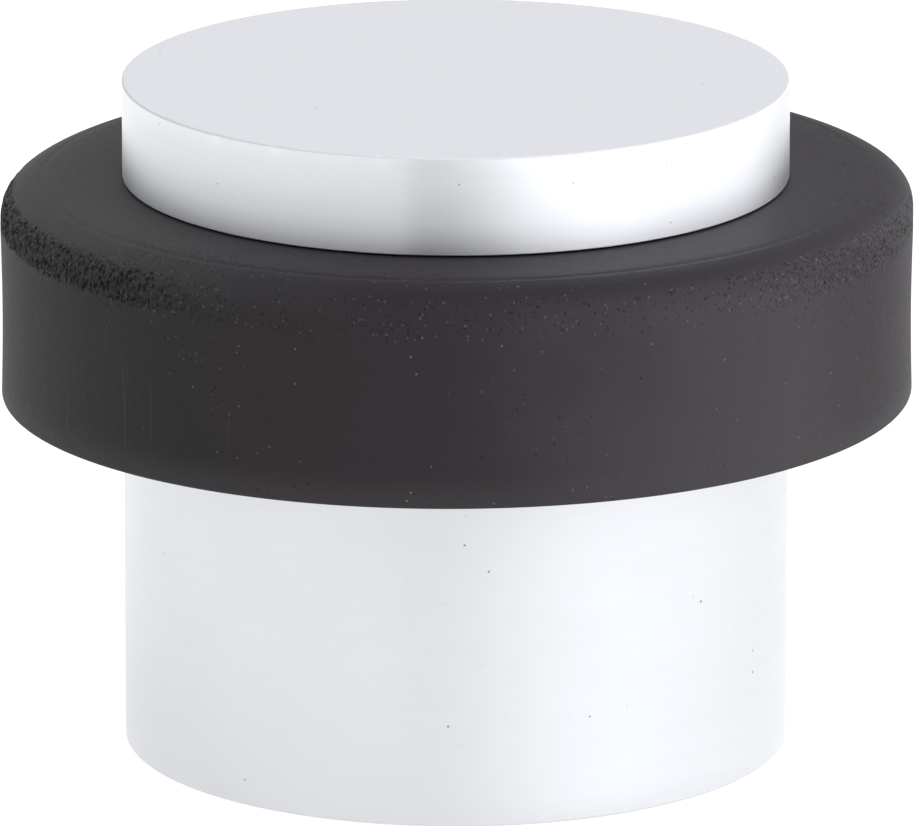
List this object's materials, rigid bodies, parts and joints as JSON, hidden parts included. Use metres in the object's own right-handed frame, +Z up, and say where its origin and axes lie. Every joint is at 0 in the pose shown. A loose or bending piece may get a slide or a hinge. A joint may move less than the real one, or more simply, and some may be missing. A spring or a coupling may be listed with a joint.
{
  "type": "floor door stop",
  "caption": "Round floor door stop: an aluminium post with a rubber buffer ring under a screw-on cap, fixed by a wood screw from inside.",
  "frame": {"origin": "centre of the post's underside, on the floor", "axes": "+Z up along the post's axis; the part is round, so X and Y are any two directions across it"},
  "size_m": [0.04, 0.04, 0.03],
  "materials": {
    "post_aluminium": "satin",
    "cap_aluminium": "satin",
    "buffer_rubber": "matte",
    "gasket_rubber": "matte",
    "seal_rubber": "satin",
    "washer_steel": "satin",
    "screw_steel": "satin"
  },
  "bodies": {
    "base": {"base_post": "post_aluminium", "base_gasket": "gasket_rubber"},
    "buffer": {"buffer_ring": "buffer_rubber"},
    "cap_seal": {"cap_o_ring": "seal_rubber"},
    "cap": {"top_cap": "cap_aluminium"},
    "washer": {"screw_washer": "washer_steel"},
    "screw": {"fixing_screw": "screw_steel"}
  },
  "joints": [
    {"name": "buffer_turn", "type": "hinge", "parent": "base", "child": "buffer", "pos_m": [0, 0, 0.0207], "axis": [0, 0, 1], "continuous": true},
    {"name": "cap_lift", "type": "slide", "parent": "base", "child": "cap_seal", "axis": [0, 0, 1], "range_m": [0, 0.009]},
    {"name": "cap_turn", "type": "hinge", "parent": "cap_seal", "child": "cap", "pos_m": [0, 0, 0.0257], "axis": [0, 0, 1], "range_deg": [0, 2161]},
    {"name": "screw_advance", "type": "slide", "parent": "base", "child": "washer", "axis": [0, 0, -1], "range_m": [0, 0.01875]},
    {"name": "screw_turn", "type": "hinge", "parent": "washer", "child": "screw", "pos_m": [0, 0, 0.0252], "axis": [0, 0, -1], "range_deg": [0, 2701]}
  ],
  "couplings": [
    {"joint": "cap_turn", "follows": "cap_lift", "rad_per_m": 4188.8},
    {"joint": "screw_turn", "follows": "screw_advance", "rad_per_m": 2513.3}
  ]
}
